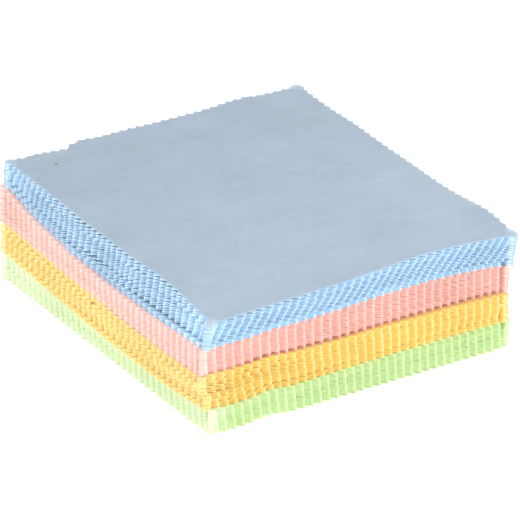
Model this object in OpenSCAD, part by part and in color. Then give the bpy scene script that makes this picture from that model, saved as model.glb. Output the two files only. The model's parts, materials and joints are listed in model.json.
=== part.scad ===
// A free-standing pile of lens-cleaning cloths with pinked edges, in four colour sets.
// Lengths are in millimetres and +Z is up. The origin is the middle of the pile's footprint,
// on the surface that the pile lies on. The near corner of the pile is at -X, -Y.

/* [Cloth] */
// Distance from one tooth of the pinked edge to the next
tooth_pitch = 3.61; // [3:0.01:4.5]
// Teeth along each side that runs with X
teeth_x = 36; // [24:1:44]
// Teeth along each side that runs with Y
teeth_y = 37; // [24:1:44]
// Depth of a tooth, from its tip to its root
tooth_depth = 1.6; // [0.8:0.1:2]
// Thickness of one cloth
cloth_t = 0.36; // [0.2:0.01:0.36]

/* [Sets] */
// Cloths in each colour set: an odd number, because all but the top one share nodes in pairs
set_count = 25; // [7:2:25]
// Height of the green set, the lowest one
green_h = 9.2; // [9.2:0.1:14]
// Height of the orange set, which lies loosest
orange_h = 14; // [9.2:0.1:18]
// Height of the pink set
pink_h = 10.8; // [9.2:0.1:14]
// Height of the blue set, the top one
blue_h = 12; // [9.2:0.1:16]

/* [Stacking] */
// Turn of the green set about the pile's upright axis, in degrees
green_turn = 0.9; // [-2:0.1:2]
// Place of the orange set's upper cloths, against the green set, along X and Y
orange_place = [-1.5, 0.1]; // [-3:0.1:3]
// Turn of the orange set's upper cloths
orange_turn = -1; // [-2:0.1:2]
// Place of the orange set's lower cloths
orange_low_place = [-0.9, 0.1]; // [-3:0.1:3]
// Turn of the orange set's lower cloths, which stand out at the near corner
orange_low_turn = 0.1; // [-2:0.1:2]
// How many cloths of the orange set lie in the lower place
orange_low_count = 12; // [0:1:24]
// Place of the pink set
pink_place = [-1.4, 1.3]; // [-3:0.1:3]
// Turn of the pink set
pink_turn = -0.5; // [-2:0.1:2]
// Place of the lowest blue cloth
blue_place = [-0.8, 0.2]; // [-3:0.1:3]
// Turn of the blue set
blue_turn = -0.7; // [-2:0.1:2]
// How far the top blue cloth leans from the lowest one, along X and Y
blue_lean = [0.8, 0.2]; // [-3:0.1:3]
// How many of the lowest blue cloths lie straight under the leaning ones
blue_straight_count = 5; // [0:1:6]

/* [Hidden] */
COLOURS = ["green", "orange", "pink", "blue"];
GREEN = 0;
ORANGE = 1;
PINK = 2;
BLUE = 3;
RGB = [[0.83, 0.93, 0.62], [0.98, 0.82, 0.40], [0.98, 0.75, 0.71], [0.66, 0.80, 0.93]];
set_h = [green_h, orange_h, pink_h, blue_h];
set_turn = [green_turn, orange_turn, pink_turn, blue_turn];
set_place = [[0, 0], orange_place, pink_place, blue_place];
sets = [GREEN:BLUE];
pairs = [1:2:set_count - 2];
cloth_x = teeth_x * tooth_pitch;
cloth_y = teeth_y * tooth_pitch;

// Where each cloth lies
function base(s) = s == GREEN ? 0 : base(s - 1) + set_h[s - 1];
function height(s, n) = base(s) + (n - 1) * set_h[s] / set_count;
function in_orange_low(s, n) = s == ORANGE && n <= orange_low_count;
function turn(s, n) = in_orange_low(s, n) ? orange_low_turn : set_turn[s];
function lean_share(s, n) =
    s == BLUE ? max(0, n - blue_straight_count) / (set_count - blue_straight_count) : 0;
function place(s, n) =
    (in_orange_low(s, n) ? orange_low_place : set_place[s]) + blue_lean * lean_share(s, n);

// The pile's footprint, which is centred on the origin
function reach(along, across, a) = (along * cos(a) + across * abs(sin(a))) / 2;
function reach_x(s, n) = reach(cloth_x, cloth_y, turn(s, n));
function reach_y(s, n) = reach(cloth_y, cloth_x, turn(s, n));
high_x = max([for (s = sets, n = [1:set_count]) place(s, n)[0] + reach_x(s, n)]);
low_x = min([for (s = sets, n = [1:set_count]) place(s, n)[0] - reach_x(s, n)]);
high_y = max([for (s = sets, n = [1:set_count]) place(s, n)[1] + reach_y(s, n)]);
low_y = min([for (s = sets, n = [1:set_count]) place(s, n)[1] - reach_y(s, n)]);
middle = [high_x + low_x, high_y + low_y] / 2;

// Node names: two cloths share a node, and the top cloth of each set has its own
function two_digits(n) = str(n < 10 ? "0" : "", n);
function pair_name(s, n) = str(COLOURS[s], "_cloths_", two_digits(n), "_", two_digits(n + 1));
function top_name(s) = str(COLOURS[s], "_cloth_", two_digits(set_count));

// Outline of a pinked cloth: a zigzag along all four sides, with a tooth's tip at each corner.
// Each side is drawn from its left end, as seen from outside, and turned to its place.
function zigzag(teeth) =
    [for (k = [0:teeth - 1]) each [[k, 0], [k + 0.5, tooth_depth / tooth_pitch]] * tooth_pitch];
function turned(p, a) = [p[0] * cos(a) - p[1] * sin(a), p[0] * sin(a) + p[1] * cos(a)];
function pinked_side(teeth, across, a) =
    [for (p = zigzag(teeth)) turned(p - [teeth * tooth_pitch, across] / 2, a)];
module pinked_outline() {
    polygon(concat(
        pinked_side(teeth_x, cloth_y, 0),
        pinked_side(teeth_y, cloth_x, 90),
        pinked_side(teeth_x, cloth_y, 180),
        pinked_side(teeth_y, cloth_x, 270)
    ));
}

// One cloth: the outer cloths of a set have the true pinked outline, and the ones
// between them are plain rectangles over the tips of their teeth
module cloth(s, n) {
    color(RGB[s])
        translate(concat(place(s, n) - middle, height(s, n)))
            rotate(turn(s, n))
                linear_extrude(cloth_t)
                    if (n == 1 || n == set_count) pinked_outline();
                    else square([cloth_x, cloth_y], center = true);
}
module cloth_pair(s, n) {
    cloth(s, n);
    cloth(s, n + 1);
}

for (s = sets) {
    for (n = pairs)
        cloth_pair(s, n);
    cloth(s, set_count);
}
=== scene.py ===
"""Looks for a pile of pinked lens-cleaning cloths in four colour sets, built round its CAD frame.

Lengths here are in millimetres until a mesh is made, which is in metres. The near corner of the pile
is at -X, -Y. Every cloth is its own closed thin mesh with a cut zigzag edge.
"""
import json
import math

import bpy
import numpy as np
from mathutils import Matrix, Vector


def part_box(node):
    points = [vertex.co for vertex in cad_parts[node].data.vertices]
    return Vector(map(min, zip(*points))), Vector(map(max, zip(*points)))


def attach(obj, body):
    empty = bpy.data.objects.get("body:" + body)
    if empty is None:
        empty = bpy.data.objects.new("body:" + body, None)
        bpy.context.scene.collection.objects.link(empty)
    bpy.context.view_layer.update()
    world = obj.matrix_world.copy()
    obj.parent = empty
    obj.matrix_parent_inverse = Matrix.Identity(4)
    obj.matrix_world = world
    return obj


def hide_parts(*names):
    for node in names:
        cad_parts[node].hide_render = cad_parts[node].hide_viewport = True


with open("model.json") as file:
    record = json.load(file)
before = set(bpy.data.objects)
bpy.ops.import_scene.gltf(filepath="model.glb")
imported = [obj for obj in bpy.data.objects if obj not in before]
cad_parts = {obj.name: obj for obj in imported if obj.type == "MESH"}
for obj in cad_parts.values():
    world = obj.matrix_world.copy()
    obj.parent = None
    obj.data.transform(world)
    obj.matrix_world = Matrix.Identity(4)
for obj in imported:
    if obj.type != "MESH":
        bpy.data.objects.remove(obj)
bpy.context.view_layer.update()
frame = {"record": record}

MM = 0.001

# ---------------------------------------------------------------- the pile, from the bottom up
COLOURS = ("green", "orange", "pink", "blue")
CLOTHS = 25  # in each colour set
TEETH = (36, 37)  # along the sides that run with X and with Y
PITCH = 3.61  # from tooth to tooth
DEPTH = 1.5  # of a tooth
SIDE = np.array(TEETH) * PITCH
HALF = SIDE / 2

# The four sides of a cloth, anticlockwise from its near corner
RIGHT, FAR_RIGHT, FAR_LEFT, LEFT = range(4)

# How the cloths of each set lie.
# turn: degrees, as in the CAD. corner: radius of a cloth's cut corner. thick: of a cloth, with its
# nap. spread: of the single cloths' places. uneven: how unevenly the air lies between the cloths.
# phase: where the lowest cloth's teeth start. batches: the last cloth of each batch that was laid
# down as one. jumble: how far the batches' teeth wander along the left side and the other sides.
# proud: how far the batches stand in or out. slope: how far each cloth's teeth are moved along the
# edge, against the cloth below.
LIE = {
    "green": {
        "turn": 0.9, "corner": 1.2, "thick": 0.36, "spread": 0.06, "uneven": 0.4, "phase": 0.4,
        "batches": (12, 25), "jumble": (0.15, 0.08), "proud": 0.08, "slope": -0.06,
    },
    "orange": {
        "turn": -1.0, "corner": 1.4, "thick": 0.42, "spread": 0.10, "uneven": 0.5, "phase": 0.9,
        "batches": (4, 8, 12, 16, 20, 25), "jumble": (0.5, 0.06), "proud": 0.16, "slope": -0.08,
    },
    "pink": {
        "turn": -0.5, "corner": 1.0, "thick": 0.38, "spread": 0.07, "uneven": 0.4, "phase": 2.9,
        "batches": (9, 17, 25), "jumble": (0.15, 0.10), "proud": 0.08, "slope": -0.045,
    },
    "blue": {
        "turn": -0.7, "corner": 1.6, "thick": 0.39, "spread": 0.10, "uneven": 0.5, "phase": 0.9,
        "batches": (5, 9, 20, 25), "jumble": (0.9, 0.2), "proud": 0.26, "slope": 0.0,
    },
}
# The lowest orange cloths: how many, their turn, and how far their teeth are moved along the edge
ORANGE_LOW_CLOTHS, ORANGE_LOW_TURN, ORANGE_LOW_SHIFT = 12, 0.1, -1.9
ORANGE_CHANGE = (8.0, 17.0)  # the cloths over which the orange set's lower lie turns into its upper
BLUE_LOW_CLOTHS = 5  # these lie straight, and the ones above them lean

# Where the seeds of each kind of random draw start, and how far the sets' seeds lie apart
SEED_RIPPLE, SEED_AIR, SEED_CROSSED, SEED_CLOTH = 77, 300, 600, 5000
SEED_TEETH, SEED_NEAR_TEETH, SEED_FACE = 7000, 8000, 9000
CLOTH_SEEDS, GAP_SEEDS = 100, 1000

# Heights of the surfaces between the sets, from the table up: five along the near edge on the right
# side and five along it on the left, both from the near corner, and the one at the far corner
LEVELS = [
    {"right": (0.0, 0.0, 0.0, 0.0, 0.0), "left": (0.0, 0.0, 0.0, 0.0, 0.0), "far": 0.0},
    {"right": (9.5, 10.0, 11.0, 11.5, 11.5), "left": (9.5, 7.5, 7.5, 8.5, 10.5), "far": 10.0},
    {"right": (22.3, 22.6, 23.0, 23.6, 23.3), "left": (22.3, 20.2, 20.2, 20.8, 21.4), "far": 23.5},
    {"right": (32.2, 33.5, 35.3, 36.4, 33.9), "left": (32.2, 29.9, 28.9, 30.5, 35.7), "far": 36.0},
    {"right": (40.5, 42.5, 44.8, 47.0, 44.6), "left": (40.5, 44.3, 44.3, 44.6, 44.8), "far": 49.8},
]
PAST_END = 0.01  # how far the teeth reach past the ends of an edge, as a share of it

# Where the pile's edge rises from the table or its top rises: the surface, the place, the reach
# along X and Y, and the rise. A rise of the underside fades out through the pile.
RISES = [
    (0, (-65.0, -67.0), (7.0, 7.0), 0.8),
    (0, (-38.0, -67.0), (6.0, 9.0), 1.6),
    (0, (66.0, -67.0), (3.0, 4.0), 0.9),
    (4, (-31.0, 67.0), (4.0, 6.0), 0.9),
    (4, (36.0, 67.0), (9.0, 10.0), 1.1),
    (4, (67.0, -50.0), (7.0, 15.0), 2.5),
]
# The top's far left edge drops in two curls: where each starts and ends along X, and how deep it is
CURLS = [(-53.0, -37.0, 1.3), (-60.0, -53.5, 0.5)]
CURL_REACH = 7.0  # from the edge
CURL_OVER, CURL_FADE = 1.0, 1.5  # how far a curl goes past its end, and over what length it fades
# How far the corners of the blue set are drawn askew by the time of its top cloth, anticlockwise
# from the near one, and how much rounder they get
ASKEW = np.array([(0.0, 0.0), (1.5, 0.4), (-0.7, 1.8), (-0.5, 0.8)])
ROUNDER = (0.2, 1.7, 1.2, 0.6)


def smooth(t):
    """From 0 to 1 with soft ends."""
    t = np.clip(t, 0.0, 1.0)
    return t * t * (3.0 - 2.0 * t)


def bell(distance):
    """1 at no distance, and almost 0 from a distance of 2."""
    return np.exp(-distance**2)


def through_five(heights, share):
    """The smooth line through five even-spaced heights."""
    even = np.linspace(0.0, 1.0, 5)
    return np.polyval(np.polyfit(even, heights, 4), np.clip(share, -PAST_END, 1.0 + PAST_END))


def level(index, xy):
    """Height of a surface between the sets: a soft patch between its two near edges and far corner."""
    u, v = ((xy / HALF + 1.0) / 2.0).T
    edge = LEVELS[index]
    right, left = edge["right"], edge["left"]
    height = right[0] * (1.0 - u) * (1.0 - v) + edge["far"] * u * v
    height += (through_five(right, u) - right[0] * (1.0 - u)) * (1.0 - v)
    height += (through_five(left, v) - left[0] * (1.0 - v)) * (1.0 - u)
    top = len(LEVELS) - 1
    for surface, place, reach, rise in RISES:
        share = 1.0 - index / top if surface == 0 else float(index == surface)
        height += share * rise * bell(np.hypot(*((xy - place) / reach).T))
    if index == top:
        near_edge = smooth((xy[:, 1] - HALF[1]) / CURL_REACH + 1.0)
        for start, end, drop in CURLS:
            along = np.clip((xy[:, 0] - start) / (end - start), 0.0, 1.0)
            inside = smooth((end + CURL_OVER - xy[:, 0]) / CURL_FADE)
            height -= drop * along * inside * near_edge
    return height


# ---------------------------------------------------------------- random fields
WAVES = 7  # in a field
WAVES_ALONG = 4  # in a field along one line
WAVE_HEIGHT = 0.9


def waves(seed, xy, shortest, longest, count=WAVES):
    """A smooth random field of about -1 to 1, the same for the same seed."""
    rng = np.random.default_rng(seed)
    total = np.zeros(len(xy))
    for _ in range(count):
        length = rng.uniform(shortest, longest)
        heading = rng.uniform(0, 2 * math.pi)
        phase = rng.uniform(0, 2 * math.pi)
        along = xy @ np.array([math.cos(heading), math.sin(heading)])
        total += np.sin(2 * math.pi * along / length + phase)
    return total / math.sqrt(count) * WAVE_HEIGHT


def wander(seed, along, shortest, longest):
    """The same along one line."""
    line = np.column_stack([along, np.zeros(len(along))])
    return waves(seed, line, shortest, longest, WAVES_ALONG)


# ---------------------------------------------------------------- heights of the cloths
SPLAY_REACH = 22.0  # from the pile's edge, where the cloths splay apart
CLOTH_SHARE = 0.92  # of a set's height, the most that its cloths take up
# The air above each cloth, as a share of the usual one: the least, what it varies by, the one
# between two batches, the shortest and longest waves in it, and how uneven it stays in the middle
AIR_LEAST, AIR_VARIES, AIR_BETWEEN_BATCHES = 0.45, 0.35, 1.6
AIR_WAVES = (9.0, 45.0)
AIR_MIDDLE = 0.3
# How much more air is above the lowest orange cloths at the near corner, and above the lowest blue
# ones along the near part of the left side, and how far each reaches
AIR_EXTRA = 3.0
ORANGE_GAP_REACH = 11.0
BLUE_GAP_REACH = (15.0, 50.0)


def edge_share(xy):
    """0 in the middle of the pile and 1 at its edge."""
    inside = np.minimum(HALF[0] - np.abs(xy[:, 0]), HALF[1] - np.abs(xy[:, 1]))
    return 1.0 - smooth(inside / SPLAY_REACH)


def rest_heights(set_index, n, xy):
    """Height of the underside of cloth n, counted from 1, and the cloth's thickness there."""
    low, high = level(set_index, xy), level(set_index + 1, xy)
    colour = COLOURS[set_index]
    lie = LIE[colour]
    rng = np.random.default_rng(SEED_AIR + set_index)
    uneven = lie["uneven"] * (AIR_MIDDLE + (1.0 - AIR_MIDDLE) * edge_share(xy))
    gaps = []
    for k in range(CLOTHS):
        usual = rng.exponential(AIR_VARIES) + AIR_LEAST
        if k + 1 in lie["batches"]:
            usual = AIR_BETWEEN_BATCHES
        local = waves(GAP_SEEDS * set_index + k, xy, *AIR_WAVES)
        gaps.append(usual * np.exp(uneven * local))
    if colour == "orange":
        near = bell(np.hypot(xy[:, 0] + HALF[0], xy[:, 1] + HALF[1]) / ORANGE_GAP_REACH)
        gaps[ORANGE_LOW_CLOTHS - 1] *= 1.0 + AIR_EXTRA * near
    if colour == "blue":
        reach_x, reach_y = BLUE_GAP_REACH
        left = bell((xy[:, 0] + HALF[0]) / reach_x) * bell((xy[:, 1] + HALF[1]) / reach_y)
        gaps[BLUE_LOW_CLOTHS - 1] *= 1.0 + AIR_EXTRA * left
    gaps = np.array(gaps)
    thick = np.minimum(lie["thick"], CLOTH_SHARE * (high - low) / CLOTHS)
    air = (high - low) - CLOTHS * thick
    below = gaps[: n - 1].sum(0) / gaps.sum(0)
    return low + (n - 1) * thick + air * below, thick


# ---------------------------------------------------------------- the cut edge of a cloth
STEPS = 6  # points on each tooth
HALF_TOOTH = STEPS // 2
TOOTH_BLUNT = 0.85  # less than 1 for roots that are blunter than the tips
SPARE_TEETH = 4  # past each end of a side, for the sides whose teeth are moved along
CORNER_VARIES = 0.2  # of a cut corner's radius
CORNER_BEND = (45.0, 22.0, 0.0)  # degrees, the points on one half of a cut corner
CORNER_GAP = 0.15  # from a cut corner to the nearest point of the zigzag
CORNER_EASE = 0.7  # teeth, over which the zigzag grows to its full depth next to a corner
CORNER_TIP = 0.4  # how much a cloth's cut corner looks like the tip of a tooth, in the painted highlight at the tips
LINE_INSET = 0.5  # from the roots of the teeth to the line just inside them
LINE_CORNER = 4.4  # from the sides to the corners of that line
LINE_GAP = 0.5  # from a corner of that line to its nearest point

# How the blue cloths above the low ones lean along each side: how far each one's teeth are moved
# against the cloth below, and how much farther by the end of the side
BLUE_LEAN = {RIGHT: (0.15, 0.14), FAR_RIGHT: (0.2, 0.0), FAR_LEFT: (0.2, 0.0), LEFT: (0.12, -0.10)}
# The lower blue cloths' teeth cross each other towards the right corner: how many cloths, how far,
# and where on the side it starts and how soon it is full, as shares of the side
BLUE_CROSSED_CLOTHS, BLUE_CROSSED, BLUE_CROSSED_FROM, BLUE_CROSSED_OVER = 13, 0.5, 0.35, 0.5
# How far the higher and the lowest blue cloths stand in along the left side, and where it starts
# and how soon it is full
BLUE_STANDS_IN, BLUE_LOW_STANDS_IN = 0.7, -0.1
BLUE_STANDS_FROM, BLUE_STANDS_OVER = 0.45, 0.4
# How the batches' teeth wander: alternately to the left and right, and in waves
BATCH_SHIFT, BATCH_WAVES = 0.7, (25.0, 70.0)
# The same in the orange set near the near corner: how far, and over what share of the side
ORANGE_NEAR_SHIFT, ORANGE_NEAR_WAVES, ORANGE_NEAR_SHARE = 0.8, (12.0, 30.0), 0.28
FACE_WAVES = (15.0, 60.0)  # in how far the batches stand in
OTHER_PROUD = 0.5  # how proud the batches are on the other sides, against the left one
OUTERMOST = -0.1  # how far a cloth may stand out
# The lowest pink cloths are cut deeper along the right side: how many, how much deeper, and where
# on the side it starts and how soon it is full
PINK_BITTEN_CLOTHS, PINK_BITE, PINK_BITE_FROM, PINK_BITE_OVER = 2, 1.2, 0.08, 0.12


def tooth(part):
    """How far in from the tips the cut runs, as a share of its depth, from one tip to the next."""
    return np.sin(math.pi * part) ** TOOTH_BLUNT


def batch_of(colour, n):
    """Which of the set's batches cloth n is in, counted from 0."""
    return sum(n > last for last in LIE[colour]["batches"])


def batch_seed(colour, n, side):
    """A number of its own for each side of each batch."""
    return 40 * COLOURS.index(colour) + 4 * batch_of(colour, n) + side


def upper_share(colour, n):
    """How much cloth n lies like the set's top cloth and not like its lowest."""
    if colour != "orange":
        return 1.0
    start, end = ORANGE_CHANGE
    return float(smooth((n - start) / (end - start)))


def lean(colour, n, side):
    """How the teeth of cloth n are moved along a side: their start, and their growing spread as a
    share of the way along."""
    lie = LIE[colour]
    if colour == "blue":
        leaning = max(0, n - BLUE_LOW_CLOTHS)
        start, spread = BLUE_LEAN[side]
        return lie["phase"] + start * leaning, spread * leaning / SIDE[side % 2]
    low_shift = ORANGE_LOW_SHIFT * (1.0 - upper_share(colour, n))
    return lie["phase"] + lie["slope"] * n + low_shift, 0.0


def tooth_places(colour, n, side, base):
    """Where the points of the even zigzag, at base along the side, come to lie on cloth n."""
    start, spread = lean(colour, n, side)
    along = (base + start) / (1.0 - spread)
    batch = batch_of(colour, n)
    seed = SEED_TEETH + batch_seed(colour, n, side)
    jumble = LIE[colour]["jumble"][0 if side == LEFT else 1]
    along = along + jumble * ((-1) ** batch * BATCH_SHIFT + wander(seed, along, *BATCH_WAVES))
    share = along / SIDE[side % 2]
    if colour == "blue" and side == RIGHT and n <= BLUE_CROSSED_CLOTHS:
        crossed = np.random.default_rng(SEED_CROSSED + n).uniform(-BLUE_CROSSED, BLUE_CROSSED)
        along = along + crossed * smooth((share - BLUE_CROSSED_FROM) / BLUE_CROSSED_OVER)
    if colour == "orange" and side == RIGHT:
        near = bell(share / ORANGE_NEAR_SHARE)
        shift = wander(SEED_NEAR_TEETH + batch, along, *ORANGE_NEAR_WAVES)
        along = along + near * ORANGE_NEAR_SHIFT * shift
    return along


def stands_in(colour, n, side, along):
    """How far the edge of cloth n lies in from the set's even face."""
    seed = SEED_FACE + batch_seed(colour, n, side)
    proud = LIE[colour]["proud"] * (1.0 if side == LEFT else OTHER_PROUD)
    inward = proud * (1.0 + wander(seed, along, *FACE_WAVES))
    if colour == "blue" and side == LEFT:
        near = smooth((along / SIDE[1] - BLUE_STANDS_FROM) / BLUE_STANDS_OVER)
        inward = inward + near * (BLUE_STANDS_IN if n > BLUE_LOW_CLOTHS else BLUE_LOW_STANDS_IN)
    return np.maximum(inward, OUTERMOST)


def depth(colour, n, side, along):
    """How deep the teeth are cut."""
    if colour == "pink" and side == RIGHT and n <= PINK_BITTEN_CLOTHS:
        return DEPTH + PINK_BITE * smooth((along / SIDE[0] - PINK_BITE_FROM) / PINK_BITE_OVER)
    return DEPTH


def outline(colour, n, rng, ragged):
    """The cut edge, anticlockwise from the near corner: places, how near a tip each is, and where it
    lies round the cloth, from 0 to 4. Then the places and where they lie of a line just inside it."""
    grown = n / CLOTHS if colour == "blue" else 0.0
    varied = rng.uniform(1.0 - CORNER_VARIES, 1.0 + CORNER_VARIES, 4)
    corners = LIE[colour]["corner"] * varied + grown * np.array(ROUNDER)
    bend = np.radians(CORNER_BEND)
    arc = np.stack([1.0 - np.sin(bend), 1.0 - np.cos(bend)], 1)
    points, tips, at, line, line_at = [], [], [], [], []
    for side in (RIGHT, FAR_RIGHT, FAR_LEFT, LEFT):
        length, across = SIDE[side % 2], SIDE[1 - side % 2]
        middle = np.array([length, across]) / 2
        angle = math.radians(90 * side)
        c, s = math.cos(angle), math.sin(angle)
        turn = np.array([[c, s], [-s, c]])

        k = np.arange(-SPARE_TEETH * STEPS, (TEETH[side % 2] + SPARE_TEETH) * STEPS)
        along = tooth_places(colour, n, side, k * PITCH / STEPS)
        first, last = corners[side], corners[(side + 1) % 4]
        fits = (along > first + CORNER_GAP) & (along < length - last - CORNER_GAP)
        k, along = k[fits], along[fits]
        face = stands_in(colour, n, side, along)
        full = depth(colour, n, side, along)
        to_corner = np.minimum(along - first, length - along - last)
        ease = smooth(to_corner / (CORNER_EASE * PITCH))
        cut = full * tooth((k % STEPS) / STEPS) * ease
        inward = face * ease + cut + rng.normal(0, ragged, len(k)) + ragged
        start, end = first * arc, last * arc[:0:-1]
        end = np.stack([length - end[:, 0], end[:, 1]], 1)
        local = np.concatenate([start, np.stack([along, inward], 1), end])
        points.append((local - middle) @ turn)
        tip = 1.0 - cut / DEPTH
        tips.append(np.concatenate([[CORNER_TIP] * len(start), tip, [CORNER_TIP] * len(end)]))
        at.append(side + local[:, 0] / length)

        nearest = LINE_CORNER + LINE_GAP
        kept = (k % HALF_TOOTH == 0) & (along > nearest) & (along < length - nearest)
        deep = stands_in(colour, n, side, along[kept]) + depth(colour, n, side, along[kept])
        inner = np.stack([along[kept], deep + LINE_INSET], 1)
        inner = np.concatenate([[[LINE_CORNER, LINE_CORNER]], inner])
        line.append((inner - middle) @ turn)
        line_at.append(side + np.concatenate([[0.0], along[kept] / length]))
    return [np.concatenate(part) for part in (points, tips, at, line, line_at)]


# ---------------------------------------------------------------- one cloth
MARGIN = 6.2  # from the tips of the teeth to the even grid inside them
# Squares of that grid along X and Y: of the uppermost cloth, of each set's top one and of the rest
UPPERMOST_CELLS, TOP_CELLS, INNER_CELLS = (90, 92), (36, 37), (12, 12)
RAGGED = 0.05  # how far the points of the cut edge stray
TURN_SPREAD = 0.25  # degrees that single cloths are turned, for each millimetre of their spread
RIM_ROOT = 0.35  # the rim value at the root of a tooth; it is 1 at a tip and 0 inside the edge
SHARP_EDGE = 50.0  # degrees
RIPPLE, RIPPLE_WAVES = 0.16, (18.0, 70.0)  # of the uppermost cloth

# Faint creases of the uppermost cloth: from one end to the other, width and height
CREASES = [
    ((23.5, 42.5), (27.5, 29.5), 0.9, 0.16),
    ((27.5, 29.5), (31.0, 18.5), 1.1, 0.12),
    ((40.0, 69.0), (41.5, 61.0), 0.8, 0.35),
    ((52.5, 46.5), (56.5, 38.0), 1.0, 0.10),
]


def stitch(outer, inner, outer_at, inner_at):
    """Triangles between two closed loops of points, matched by where they lie round the cloth."""
    faces = []
    i = j = 0
    n, m = len(outer), len(inner)
    while i < n or j < m:
        next_outer = outer_at[i + 1] if i + 1 < n else 4.0 + outer_at[0]
        next_inner = inner_at[j + 1] if j + 1 < m else 4.0 + inner_at[0]
        if j == m or (i < n and next_outer <= next_inner):
            faces.append((outer[i], outer[(i + 1) % n], inner[j % m]))
            i += 1
        else:
            faces.append((outer[i % n], inner[(j + 1) % m], inner[j]))
            j += 1
    return faces


def flat_cloth(colour, n, rng, cells):
    """A cloth's plan: its points, the edge first, how near a tip each is, its faces, and how many
    points the edge has. cells is how many squares the inner grid has along each side."""
    edge, tips, at, line, line_at = outline(colour, n, rng, RAGGED)
    nx, ny = cells
    gx = np.linspace(-1, 1, nx + 1) * (HALF[0] - MARGIN)
    gy = np.linspace(-1, 1, ny + 1) * (HALF[1] - MARGIN)
    grid = np.array([(x, y) for y in gy for x in gx])
    first = len(edge) + len(line)

    def spot(i, j):
        return first + j * (nx + 1) + i

    faces = [
        (spot(i, j), spot(i + 1, j), spot(i + 1, j + 1), spot(i, j + 1))
        for j in range(ny)
        for i in range(nx)
    ]
    ring = (
        [spot(i, 0) for i in range(nx)]
        + [spot(nx, j) for j in range(ny)]
        + [spot(nx - i, ny) for i in range(nx)]
        + [spot(0, ny - j) for j in range(ny)]
    )
    ring_at = np.concatenate([q + np.arange(c) / c for q, c in enumerate((nx, ny, nx, ny))])
    inside = list(range(len(edge), first))
    faces += stitch(list(range(len(edge))), inside, at, line_at)
    faces += stitch(inside, ring, line_at, ring_at)
    tips = np.concatenate([tips, np.zeros(len(line) + len(grid))])
    return np.concatenate([edge, line, grid]), tips, faces, len(edge)


def relief(xy):
    """Slight creases and ripples of the uppermost cloth, never below its rest height."""
    height = RIPPLE * (1.0 + waves(SEED_RIPPLE, xy, *RIPPLE_WAVES))
    for start, end, width, rise in CREASES:
        start, end = np.array(start), np.array(end)
        run = end - start
        share = np.clip((xy - start) @ run / (run @ run), 0.0, 1.0)
        away = np.hypot(*(xy - start - share[:, None] * run).T)
        height += rise * bell(away / width)
    return height


def node_of(colour, n):
    """The CAD node that holds cloth n."""
    if n == CLOTHS:
        return f"{colour}_cloth_{n:02d}"
    low = n if n % 2 else n - 1
    return f"{colour}_cloths_{low:02d}_{low + 1:02d}"


def middle_of(colour, n):
    """The middle, along X and Y, of the CAD node that holds cloth n."""
    low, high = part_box(node_of(colour, n))
    return np.array([low.x + high.x, low.y + high.y]) / 2 / MM


def laid(colour, n, rng, plan):
    """A cloth's plan, turned and moved to where it lies in the pile."""
    lie = LIE[colour]
    centre, turn = middle_of(colour, n), lie["turn"]
    if colour == "orange":
        share = upper_share(colour, n)
        centre = share * middle_of(colour, CLOTHS) + (1.0 - share) * middle_of(colour, 1)
        turn = share * turn + (1.0 - share) * ORANGE_LOW_TURN
    turn = math.radians(turn + rng.normal(0, TURN_SPREAD * lie["spread"]))
    c, s = math.cos(turn), math.sin(turn)
    xy = plan @ np.array([[c, s], [-s, c]]) + centre + rng.normal(0, lie["spread"], 2)
    if colour == "blue":
        u, v = np.clip((plan / HALF + 1.0) / 2.0, 0.0, 1.0).T
        shares = np.stack([(1.0 - u) * (1.0 - v), u * (1.0 - v), u * v, (1.0 - u) * v], 1)
        xy += shares @ ASKEW * n / CLOTHS
    return xy


def make_cloth(set_index, n):
    """Cloth n of a set, as a closed thin mesh. Its rim attribute says how near a tooth's tip it is."""
    colour = COLOURS[set_index]
    rng = np.random.default_rng(SEED_CLOTH + CLOTH_SEEDS * set_index + n)
    uppermost = colour == COLOURS[-1] and n == CLOTHS
    cells = UPPERMOST_CELLS if uppermost else TOP_CELLS if n == CLOTHS else INNER_CELLS
    plan, tips, faces, edge = flat_cloth(colour, n, rng, cells)
    xy = laid(colour, n, rng, plan)
    under, thick = rest_heights(set_index, n, xy)
    if uppermost:
        under = under + relief(xy)
    lower = np.column_stack([xy, under])
    upper = np.column_stack([xy, under + thick])

    count = len(xy)
    top = [tuple(v + count for v in f) for f in faces]
    bottom = [tuple(reversed(f)) for f in faces]
    walls = [(i, (i + 1) % edge, (i + 1) % edge + count, i + count) for i in range(edge)]
    name = f"{colour}_lens_cloth_{n:02d}"
    mesh = bpy.data.meshes.new(name)
    mesh.from_pydata((np.concatenate([lower, upper]) * MM).tolist(), [], top + bottom + walls)
    mesh.update()
    rim = np.where(np.arange(count) < edge, RIM_ROOT + (1.0 - RIM_ROOT) * tips, 0.0)
    attribute = mesh.attributes.new("rim", "FLOAT", "POINT")
    attribute.data.foreach_set("value", np.concatenate([rim, rim]).astype(np.float32))
    mesh.polygons.foreach_set("use_smooth", [True] * len(mesh.polygons))
    mesh.set_sharp_from_angle(angle=math.radians(SHARP_EDGE))
    piece = bpy.data.objects.new(name, mesh)
    bpy.context.scene.collection.objects.link(piece)
    return piece


# ---------------------------------------------------------------- suede microfibre
# Colours of a cloth's face, of its cut edge in the roots of the teeth, and of the tips. The tips are
# painted paler than the roots: a painted highlight on the tips against painted shade in the roots
FACE = {
    "green": (0.58, 0.76, 0.34),
    "orange": (0.88, 0.62, 0.18),
    "pink": (0.88, 0.52, 0.45),
    "blue": (0.345, 0.425, 0.515),
}
CUT = {
    "green": (0.52, 0.70, 0.33),
    "orange": (0.82, 0.54, 0.125),
    "pink": (0.80, 0.44, 0.38),
    "blue": (0.35, 0.57, 0.83),
}
# Painted highlight: the paler colours painted on the tips of the teeth
TIP_HIGHLIGHT = {
    "green": (0.76, 0.92, 0.55),
    "orange": (1.0, 0.80, 0.36),
    "pink": (1.0, 0.69, 0.63),
    "blue": (0.66, 0.85, 0.99),
}
WHITE = (1.0, 1.0, 1.0)
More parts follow.
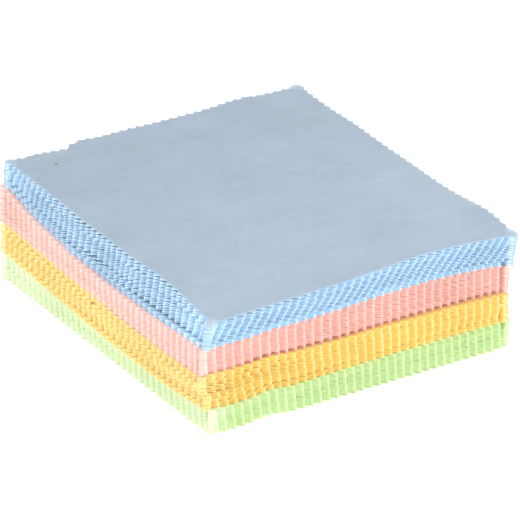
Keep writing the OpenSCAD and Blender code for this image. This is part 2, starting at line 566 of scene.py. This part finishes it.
# Painted shade in the notches where the lowest pink cloths are bitten deeper, tinted dark orange by a
# painted reflection of the orange cloths, and the rim value from which it is full and at which it ends
NOTCH_PAINTED_SHADE = (1.0, 0.36, 0.09)
NOTCH_SHADE_FULL, NOTCH_SHADE_END = -0.35, 0.0
WALL_FROM, WALL_FULL = 0.75, 0.35  # how upright a normal is where the cut edge starts and is full
HIGHLIGHT_FROM = 0.45  # the rim value from which the cut edge is painted paler towards the tips, a painted highlight
FACE_TIP_HIGHLIGHT = 0.55  # how much a face is painted paler at the tips, a painted highlight
# Small marks on the cloths: where they lie, how large they are and their colour
MARKS = {
    "blue": [
        ((-48.8, 56.2, 44.5), 0.75, (0.10, 0.12, 0.15)),
        ((-27.9, -25.8, 44.0), 0.50, (0.66, 0.74, 0.84)),
        ((31.0, 18.5, 46.5), 0.50, (0.62, 0.70, 0.80)),
    ],
    "orange": [((-65.2, 3.6, 17.6), 0.9, (0.16, 0.08, 0.02))],
}
# How much the height counts, against the other two, for how far away a mark is
MARK_HEIGHT = {"blue": 0.25, "orange": 1.0}
MARK_CORE, MARK_STRENGTH = 0.6, 0.9  # the share of a mark's radius that is full, and how strong it is
# How much paler the cloths are painted along the sides that face -X, a painted light on those sides
PAINTED_LEFT_LIGHT = {"green": 0.30, "orange": 0.07, "pink": 0.10}
LEFT_LIGHT_FROM, LEFT_LIGHT_TO = -52.0, -66.0
# Painted shade that darkens the blue cloths towards the far side: the way it runs, how much darker
# they are far along that way, and where that is full
PAINTED_SHADE_WAY, PAINTED_SHADE_AMOUNT, PAINTED_SHADE_REACH = (-0.2, 1.0, 0.0), 0.11, 80.0
# Faint streaks brushed into the blue nap: how far they turn from X, how often they change along
# them and across them in a metre, and how much they lighten and darken it
STREAK_TURN, STREAK_SCALE, STREAK_SHADE = math.radians(35.6), (16.0, 130.0, 0.0), 0.03
STREAKS = {"scale": 1.0, "detail": 3.0, "roughness": 0.55, "distortion": 0.3}
# The nap's clouds, tufts and fibres: scale is how often they change in a metre
CLOUDS = {"scale": 38.0, "detail": 3.0, "roughness": 0.55}
TUFTS = {"scale": 260.0, "detail": 3.0, "roughness": 0.6, "distortion": 0.4}
FIBRES = {"scale": 2600.0, "detail": 2.0, "roughness": 0.7}
NOISE_LOW, NOISE_HIGH = 0.3, 0.7  # the usual range of such a noise
# How much each one lightens and darkens the cloth
CLOUD_SHADE = (0.96, 1.035)
TUFT_SHADE = FIBRE_SHADE = 0.03
TUFT_HEIGHT, FIBRE_HEIGHT = 0.6, 0.4  # their shares of the bumps
ROUGHNESS = (0.82, 0.98)


class Nodes:
    """Short ways to add and link the shader nodes of one material."""

    def __init__(self, material):
        material.use_nodes = True
        self.tree = material.node_tree
        self.tree.nodes.clear()

    def add(self, kind, values=(), **settings):
        node = self.tree.nodes.new(kind)
        for key, value in settings.items():
            setattr(node, key, value)
        for socket, value in dict(values).items():
            if isinstance(value, bpy.types.NodeSocket):
                self.tree.links.new(value, node.inputs[socket])
            else:
                node.inputs[socket].default_value = value
        return node

    def noise(self, place, scale, detail, roughness, distortion=0.0):
        sockets = {"Vector": place, "Scale": scale, "Detail": detail}
        sockets.update({"Roughness": roughness, "Distortion": distortion})
        return self.add("ShaderNodeTexNoise", sockets).outputs["Fac"]

    def maths(self, operation, a, b=0.0):
        return self.add("ShaderNodeMath", {0: a, 1: b}, operation=operation).outputs[0]

    def vector(self, operation, a, b, output):
        return self.add("ShaderNodeVectorMath", {0: a, 1: b}, operation=operation).outputs[output]

    def stretch(self, value, low, high, to_low, to_high):
        names = ("Value", "From Min", "From Max", "To Min", "To Max")
        sockets = dict(zip(names, (value, low, high, to_low, to_high)))
        return self.add("ShaderNodeMapRange", sockets).outputs["Result"]

    def swing(self, noise, low, high):
        """A noise, with its usual range stretched to run from low to high."""
        return self.stretch(noise, NOISE_LOW, NOISE_HIGH, low, high)

    def mix(self, share, a, b, blend="MIX"):
        node = self.add("ShaderNodeMix", data_type="RGBA", blend_type=blend, clamp_factor=True)
        for socket, value in ((0, share), (6, a), (7, b)):
            if isinstance(value, bpy.types.NodeSocket):
                self.tree.links.new(value, node.inputs[socket])
            elif socket == 0:
                node.inputs[socket].default_value = value
            else:
                node.inputs[socket].default_value = (*value, 1.0)
        return node.outputs[2]


def dye_and_painted_light(g, colour, place):
    """The colour of the cloth's faces and of its cut edge, before the nap's shade, with a painted
    highlight at the tips of the teeth, painted shade in the bitten pink notches and painted light on
    the -X sides.
    """
    normal = g.add("ShaderNodeNewGeometry").outputs["True Normal"]
    upright = g.maths("ABSOLUTE", g.add("ShaderNodeSeparateXYZ", {0: normal}).outputs["Z"])
    wall = g.stretch(upright, WALL_FULL, WALL_FROM, 1.0, 0.0)
    rim = g.add("ShaderNodeAttribute", attribute_name="rim").outputs["Fac"]
    # Painted highlight: the cut edge pales towards the tips of the teeth, against painted shade in the
    # roots
    cut = g.mix(g.stretch(rim, HIGHLIGHT_FROM, 1.0, 0.0, 1.0), CUT[colour], TIP_HIGHLIGHT[colour])
    if colour == "pink":
        # Painted shade: the deep roots of the bitten pink cloths turn dark orange
        cut = g.mix(g.stretch(rim, NOTCH_SHADE_FULL, NOTCH_SHADE_END, 1.0, 0.0), cut, NOTCH_PAINTED_SHADE)
    # Painted highlight: a face pales towards the tips of the teeth
    face_highlighted = g.mix(g.stretch(rim, 0.0, 1.0, 0.0, FACE_TIP_HIGHLIGHT), FACE[colour], TIP_HIGHLIGHT[colour])
    base = g.mix(wall, face_highlighted, cut)
    # Painted light: the sides that face -X pale towards their edge
    if colour in PAINTED_LEFT_LIGHT:
        across = g.add("ShaderNodeSeparateXYZ", {0: place}).outputs["X"]
        painted_light = g.stretch(across, LEFT_LIGHT_TO * MM, LEFT_LIGHT_FROM * MM, PAINTED_LEFT_LIGHT[colour], 0.0)
        base = g.mix(painted_light, base, WHITE)
    return base


def nap_tone_and_painted_shade(g, colour, place, clouds, tufts, fibres):
    """How light or dark the nap is from place to place, with painted shade darkening the blue cloths
    towards the far side.
    """
    shade = g.maths("ADD", g.swing(clouds, *CLOUD_SHADE), g.swing(tufts, -TUFT_SHADE, TUFT_SHADE))
    shade = g.maths("ADD", shade, g.swing(fibres, -FIBRE_SHADE, FIBRE_SHADE))
    if colour == "blue":
        # Painted shade: the blue cloths darken towards the far side
        reach = PAINTED_SHADE_REACH * MM
        painted_shade = g.vector("DOT_PRODUCT", place, PAINTED_SHADE_WAY, "Value")
        painted_shade = g.stretch(painted_shade, -0.5 * reach, reach, 0.0, PAINTED_SHADE_AMOUNT)
        shade = g.maths("SUBTRACT", shade, painted_shade)
        turned = {"Vector": place, "Rotation": (0.0, 0.0, STREAK_TURN), "Scale": STREAK_SCALE}
        streaks = g.noise(g.add("ShaderNodeMapping", turned).outputs[0], **STREAKS)
        shade = g.maths("ADD", shade, g.swing(streaks, -STREAK_SHADE, STREAK_SHADE))
    return g.add("ShaderNodeCombineColor", {0: shade, 1: shade, 2: shade}).outputs[0]


def marked(g, colour, place, base):
    """The colour with the cloth's small marks on it."""
    if colour not in MARKS:
        return base
    squeeze = (1.0, 1.0, MARK_HEIGHT[colour])
    squeezed = g.vector("MULTIPLY", place, squeeze, 0)
    for spot, radius, tint in MARKS[colour]:
        spot = tuple(v * s * MM for v, s in zip(spot, squeeze))
        away = g.vector("DISTANCE", squeezed, spot, "Value")
        share = g.stretch(away, MARK_CORE * radius * MM, radius * MM, MARK_STRENGTH, 0.0)
        base = g.mix(share, base, tint)
    return base


def microfibre(colour):
    material = bpy.data.materials.new(f"{colour}_microfibre_suede")
    g = Nodes(material)
    place = g.add("ShaderNodeTexCoord").outputs["Object"]
    clouds, tufts, fibres = (g.noise(place, **kind) for kind in (CLOUDS, TUFTS, FIBRES))
    shade = nap_tone_and_painted_shade(g, colour, place, clouds, tufts, fibres)
    base = g.mix(1.0, dye_and_painted_light(g, colour, place), shade, "MULTIPLY")
    base = marked(g, colour, place, base)
    tuft_height = g.maths("MULTIPLY", tufts, TUFT_HEIGHT)
    fibre_height = g.maths("MULTIPLY", fibres, FIBRE_HEIGHT)
    height = g.maths("ADD", tuft_height, fibre_height)
    bump = g.add("ShaderNodeBump", {"Height": height, "Strength": 0.35, "Distance": 0.0002})
    shader = g.add(
        "ShaderNodeBsdfPrincipled",
        {
            "Base Color": base,
            "Roughness": g.swing(fibres, *ROUGHNESS),
            "Normal": bump.outputs["Normal"],
            "Sheen Weight": 0.55,
            "Sheen Roughness": 0.35,
            "Sheen Tint": (0.95, 0.97, 1.0, 1.0),
            "Specular IOR Level": 0.15,
        },
    )
    g.add("ShaderNodeOutputMaterial", {"Surface": shader.outputs[0]})
    return material


# ---------------------------------------------------------------- floor, light and camera
FLOOR_REACH = 6.0  # metres from the pile to each edge of the floor
FLOOR_DROP = 0.0001  # metres, under the pile
FLOOR_SOCKETS = {
    "Base Color": (0.92, 0.92, 0.92, 1.0),
    "Roughness": 0.9,
    "Emission Color": (1.0, 1.0, 1.0, 1.0),
    "Emission Strength": 0.35,
}
SKY_STRENGTH = 1.15
PANEL_SIZE = 0.9  # metres
# Where the soft light panels stand, in metres, and their power in watts
PANELS = {
    "key_panel": ((-1.2, -0.3, 0.6), 2.2),
    "front_panel": ((-0.2, -1.3, 0.5), 4.0),
}
# The camera's angles are in degrees, azimuth from the -Y side, and off_axis is how far it is moved
# across and up after it was aimed
CAMERA = {
    "azimuth": -36.57,
    "elevation": 26.82,
    "roll": 4.16,
    "distance": 1149.4,
    "aim": (1.6, -1.0, 20.0),
    "off_axis": (0.83, 0.90),
    "lens": 222.7,
}
SENSOR_WIDTH = 36.0
CLIP = (0.01, 50.0)  # metres


def make_floor():
    material = bpy.data.materials.new("pale_floor")
    g = Nodes(material)
    shader = g.add("ShaderNodeBsdfPrincipled", FLOOR_SOCKETS)
    g.add("ShaderNodeOutputMaterial", {"Surface": shader.outputs[0]})
    mesh = bpy.data.meshes.new("floor")
    corners = [(-1, -1), (1, -1), (1, 1), (-1, 1)]
    spots = [(x * FLOOR_REACH, y * FLOOR_REACH, -FLOOR_DROP) for x, y in corners]
    mesh.from_pydata(spots, [], [(0, 1, 2, 3)])
    mesh.update()
    mesh.materials.append(material)
    floor = bpy.data.objects.new("floor", mesh)
    bpy.context.scene.collection.objects.link(floor)


def make_light():
    world = bpy.data.worlds.new("studio")
    bpy.context.scene.world = world
    world.use_nodes = True
    sky = world.node_tree.nodes["Background"]
    sky.inputs["Color"].default_value = (*WHITE, 1.0)
    sky.inputs["Strength"].default_value = SKY_STRENGTH
    for name, (place, power) in PANELS.items():
        light = bpy.data.lights.new(name, "AREA")
        light.size = PANEL_SIZE
        light.energy = power
        panel = bpy.data.objects.new(name, light)
        panel.location = place
        panel.rotation_euler = (-Vector(place)).to_track_quat("-Z", "Y").to_euler()
        bpy.context.scene.collection.objects.link(panel)


def make_camera():
    azimuth, elevation, roll = (math.radians(CAMERA[k]) for k in ("azimuth", "elevation", "roll"))
    level_way = Vector((math.sin(azimuth), -math.cos(azimuth), 0.0))
    back = level_way * math.cos(elevation) + Vector((0.0, 0.0, math.sin(elevation)))
    right = Vector((math.cos(azimuth), math.sin(azimuth), 0.0))
    up = back.cross(right)
    across = right * math.cos(roll) + up * math.sin(roll)
    upward = up * math.cos(roll) - right * math.sin(roll)
    spot = Vector(CAMERA["aim"]) + back * CAMERA["distance"]
    spot += across * CAMERA["off_axis"][0] + upward * CAMERA["off_axis"][1]
    camera = bpy.data.cameras.new("camera")
    camera.lens = CAMERA["lens"]
    camera.sensor_width = SENSOR_WIDTH
    camera.clip_start, camera.clip_end = CLIP
    holder = bpy.data.objects.new("camera", camera)
    turn = Matrix((across, upward, back)).transposed()
    holder.matrix_world = Matrix.Translation(spot * MM) @ turn.to_4x4()
    bpy.context.scene.collection.objects.link(holder)
    bpy.context.scene.camera = holder


# ---------------------------------------------------------------- the whole scene
def lay_pile():
    """Lays every cloth on the one below it, in its body."""
    bodies = frame["record"]["behaviour"]["bodies"]
    body_of_node = {node: body for body, nodes in bodies.items() for node in nodes}
    for set_index, colour in enumerate(COLOURS):
        suede = microfibre(colour)
        for n in range(1, CLOTHS + 1):
            piece = make_cloth(set_index, n)
            piece.data.materials.append(suede)
            node = node_of(colour, n)
            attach(piece, body_of_node[node])
            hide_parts(node)


make_floor()
make_light()
make_camera()
bpy.context.scene.view_settings.view_transform = "Standard"
lay_pile()
